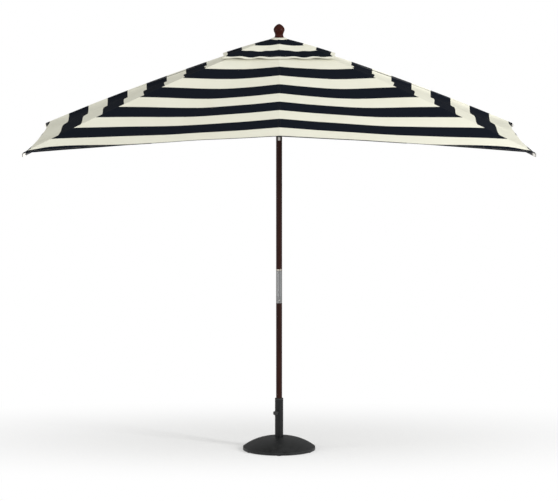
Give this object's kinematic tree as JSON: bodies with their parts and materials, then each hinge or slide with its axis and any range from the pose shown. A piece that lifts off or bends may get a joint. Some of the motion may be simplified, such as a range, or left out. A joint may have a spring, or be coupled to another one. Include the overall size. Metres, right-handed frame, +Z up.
{
  "type": "rectangular market umbrella",
  "caption": "Freestanding rectangular striped market umbrella: folding ribs and struts on a two-piece pole, vented cloth top, round domed base with clamp knob",
  "frame": {"origin": "the floor under the pole's axis, at the bottom of the base pads", "axes": "X along the canopy's long side, -Y towards its front, Z up the pole"},
  "size_m": [3.0608, 1.9952, 2.687],
  "materials": {
    "base_iron": "satin black powder coat on cast iron",
    "pads": "black rubber",
    "stem": "satin black powder coat",
    "steel": "plain zinc-plated steel",
    "black_plastic": "moulded nylon, matte black",
    "pole_wood": "espresso stain, satin varnish",
    "finial_wood": "dark red-brown stain, satin varnish",
    "sleeve_steel": "brushed stainless steel",
    "rib_fibreglass": "pultruded fibreglass, black",
    "strut_metal": "black powder coat on aluminium",
    "canvas": "woven acrylic canvas, cream with near-black navy stripes"
  },
  "bodies": {
    "base": {"base_casting": "base_iron", "base_pads": "pads", "base_stem": "stem", "stem_bolts": "steel", "stem_bush": "black_plastic"},
    "knob_screw": {"knob_screw": "steel"},
    "knob_grip": {"knob_grip": "black_plastic"},
    "pole_foot": {"pole_foot": "black_plastic"},
    "lower_pole": {"lower_pole": "pole_wood", "coupling_sleeve": "sleeve_steel", "sleeve_screws": "steel"},
    "upper_pole": {"upper_pole": "pole_wood", "top_hub": "black_plastic", "hub_pins": "steel", "crown_washer": "black_plastic", "vent_crown": "canvas"},
    "finial_stud": {"finial_stud": "steel"},
    "finial": {"finial": "finial_wood"},
    "runner": {"runner": "black_plastic"},
    "rib_front": {"rib_front": "rib_fibreglass", "fittings_front": "steel", "canopy_front": "canvas", "vent_front": "canvas"},
    "strut_front": {"strut_front": "strut_metal"},
    "rib_front_right": {"rib_front_right": "rib_fibreglass", "fittings_front_right": "steel", "canopy_front_right": "canvas", "vent_front_right": "canvas"},
    "strut_front_right": {"strut_front_right": "strut_metal"},
    "rib_right": {"rib_right": "rib_fibreglass", "fittings_right": "steel", "canopy_right": "canvas", "vent_right": "canvas"},
    "strut_right": {"strut_right": "strut_metal"},
    "rib_back_right": {"rib_back_right": "rib_fibreglass", "fittings_back_right": "steel", "canopy_back_right": "canvas", "vent_back_right": "canvas"},
    "strut_back_right": {"strut_back_right": "strut_metal"},
    "rib_back": {"rib_back": "rib_fibreglass", "fittings_back": "steel", "canopy_back": "canvas", "vent_back": "canvas"},
    "strut_back": {"strut_back": "strut_metal"},
    "rib_back_left": {"rib_back_left": "rib_fibreglass", "fittings_back_left": "steel", "canopy_back_left": "canvas", "vent_back_left": "canvas"},
    "strut_back_left": {"strut_back_left": "strut_metal"},
    "rib_left": {"rib_left": "rib_fibreglass", "fittings_left": "steel", "canopy_left": "canvas", "vent_left": "canvas"},
    "strut_left": {"strut_left": "strut_metal"},
    "rib_front_left": {"rib_front_left": "rib_fibreglass", "fittings_front_left": "steel", "canopy_front_left": "canvas", "vent_front_left": "canvas"},
    "strut_front_left": {"strut_front_left": "strut_metal"}
  },
  "joints": [
    {"name": "pole_lift", "type": "slide", "parent": "base", "child": "pole_foot", "axis": [0, 0, 1], "range_m": [0, 0.32]},
    {"name": "pole_turn", "type": "hinge", "parent": "pole_foot", "child": "lower_pole", "pos_m": [0, 0, 0.04], "axis": [0, 0, 1], "continuous": true},
    {"name": "upper_pole_lift", "type": "slide", "parent": "lower_pole", "child": "upper_pole", "axis": [0, 0, 1], "range_m": [0, 0.12]},
    {"name": "finial_unscrew", "type": "slide", "parent": "upper_pole", "child": "finial_stud", "axis": [0, 0, 1], "range_m": [0, 0.036]},
    {"name": "finial_turn", "type": "hinge", "parent": "finial_stud", "child": "finial", "pos_m": [0, 0, 2.603], "axis": [0, 0, 1], "range_deg": [0, 8640]},
    {"name": "knob_slide", "type": "slide", "parent": "base", "child": "knob_screw", "axis": [-0.4226, -0.9063, 0], "range_m": [0, 0.01]},
    {"name": "knob_turn", "type": "hinge", "parent": "knob_screw", "child": "knob_grip", "pos_m": [-0.02113, -0.04532, 0.241], "axis": [0.4226, 0.9063, 0], "range_deg": [-2880, 0]},
    {"name": "fold", "type": "hinge", "parent": "upper_pole", "child": "rib_front", "pos_m": [0, -0.048, 2.55], "axis": [1, 0, 0], "range_deg": [0, 56.88], "deforming": ["canopy_front", "vent_front"]},
    {"name": "strut_front_fold", "type": "hinge", "parent": "rib_front", "child": "strut_front", "pos_m": [0, -0.50522, 2.29], "axis": [1, 0, 0], "range_deg": [-113.75, 0]},
    {"name": "rib_front_right_fold", "type": "hinge", "parent": "upper_pole", "child": "rib_front_right", "pos_m": [0.04025, -0.02615, 2.55], "axis": [0.5448, 0.8386, 0], "range_deg": [0, 68.92], "deforming": ["canopy_front_right", "vent_front_right"]},
    {"name": "strut_front_right_fold", "type": "hinge", "parent": "rib_front_right", "child": "strut_front_right", "pos_m": [0.41355, -0.26864, 2.40895], "axis": [0.5448, 0.8386, 0], "range_deg": [-115.72, 0]},
    {"name": "rib_right_fold", "type": "hinge", "parent": "upper_pole", "child": "rib_right", "pos_m": [0.048, 0, 2.55], "axis": [0, 1, 0], "range_deg": [0, 64.78], "deforming": ["canopy_right", "vent_right"]},
    {"name": "strut_right_fold", "type": "hinge", "parent": "rib_right", "child": "strut_right", "pos_m": [0.49974, 0, 2.37001], "axis": [0, 1, 0], "range_deg": [-114.8, 0]},
    {"name": "rib_back_right_fold", "type": "hinge", "parent": "upper_pole", "child": "rib_back_right", "pos_m": [0.04025, 0.02615, 2.55], "axis": [-0.5448, 0.8386, 0], "range_deg": [0, 68.92], "deforming": ["canopy_back_right", "vent_back_right"]},
    {"name": "strut_back_right_fold", "type": "hinge", "parent": "rib_back_right", "child": "strut_back_right", "pos_m": [0.41355, 0.26864, 2.40895], "axis": [-0.5448, 0.8386, 0], "range_deg": [-115.72, 0]},
    {"name": "rib_back_fold", "type": "hinge", "parent": "upper_pole", "child": "rib_back", "pos_m": [0, 0.048, 2.55], "axis": [-1, 0, 0], "range_deg": [0, 56.88], "deforming": ["canopy_back", "vent_back"]},
    {"name": "strut_back_fold", "type": "hinge", "parent": "rib_back", "child": "strut_back", "pos_m": [0, 0.50522, 2.29], "axis": [-1, 0, 0], "range_deg": [-113.75, 0]},
    {"name": "rib_back_left_fold", "type": "hinge", "parent": "upper_pole", "child": "rib_back_left", "pos_m": [-0.04025, 0.02615, 2.55], "axis": [-0.5448, -0.8386, 0], "range_deg": [0, 68.92], "deforming": ["canopy_back_left", "vent_back_left"]},
    {"name": "strut_back_left_fold", "type": "hinge", "parent": "rib_back_left", "child": "strut_back_left", "pos_m": [-0.41355, 0.26864, 2.40895], "axis": [-0.5448, -0.8386, 0], "range_deg": [-115.72, 0]},
    {"name": "rib_left_fold", "type": "hinge", "parent": "upper_pole", "child": "rib_left", "pos_m": [-0.048, 0, 2.55], "axis": [0, -1, 0], "range_deg": [0, 64.78], "deforming": ["canopy_left", "vent_left"]},
    {"name": "strut_left_fold", "type": "hinge", "parent": "rib_left", "child": "strut_left", "pos_m": [-0.49974, 0, 2.37001], "axis": [0, -1, 0], "range_deg": [-114.8, 0]},
    {"name": "rib_front_left_fold", "type": "hinge", "parent": "upper_pole", "child": "rib_front_left", "pos_m": [-0.04025, -0.02615, 2.55], "axis": [0.5448, -0.8386, 0], "range_deg": [0, 68.92], "deforming": ["canopy_front_left", "vent_front_left"]},
    {"name": "strut_front_left_fold", "type": "hinge", "parent": "rib_front_left", "child": "strut_front_left", "pos_m": [-0.41355, -0.26864, 2.40895], "axis": [0.5448, -0.8386, 0], "range_deg": [-115.72, 0]},
    {"name": "runner_pin", "type": "hinge", "parent": "strut_front", "child": "runner", "pos_m": [0, -0.048, 2.03], "axis": [1, 0, 0], "range_deg": [0, 56.88]}
  ],
  "couplings": [
    {"joint": "finial_unscrew", "follows": "finial_turn", "m_per_rad": 0.00023873},
    {"joint": "knob_slide", "follows": "knob_turn", "m_per_rad": -0.00019894},
    {"joint": "strut_front_fold", "follows": "fold", "ratio": -2},
    {"joint": "rib_front_right_fold", "follows": "fold", "ratio": 1.2118},
    {"joint": "strut_front_right_fold", "follows": "fold", "ratio": -2.0346},
    {"joint": "rib_right_fold", "follows": "fold", "ratio": 1.1389},
    {"joint": "strut_right_fold", "follows": "fold", "ratio": -2.0184},
    {"joint": "rib_back_right_fold", "follows": "fold", "ratio": 1.2118},
    {"joint": "strut_back_right_fold", "follows": "fold", "ratio": -2.0346},
    {"joint": "rib_back_fold", "follows": "fold", "ratio": 1},
    {"joint": "strut_back_fold", "follows": "fold", "ratio": -2},
    {"joint": "rib_back_left_fold", "follows": "fold", "ratio": 1.2118},
    {"joint": "strut_back_left_fold", "follows": "fold", "ratio": -2.0346},
    {"joint": "rib_left_fold", "follows": "fold", "ratio": 1.1389},
    {"joint": "strut_left_fold", "follows": "fold", "ratio": -2.0184},
    {"joint": "rib_front_left_fold", "follows": "fold", "ratio": 1.2118},
    {"joint": "strut_front_left_fold", "follows": "fold", "ratio": -2.0346},
    {"joint": "runner_pin", "follows": "fold", "ratio": 1}
  ]
}
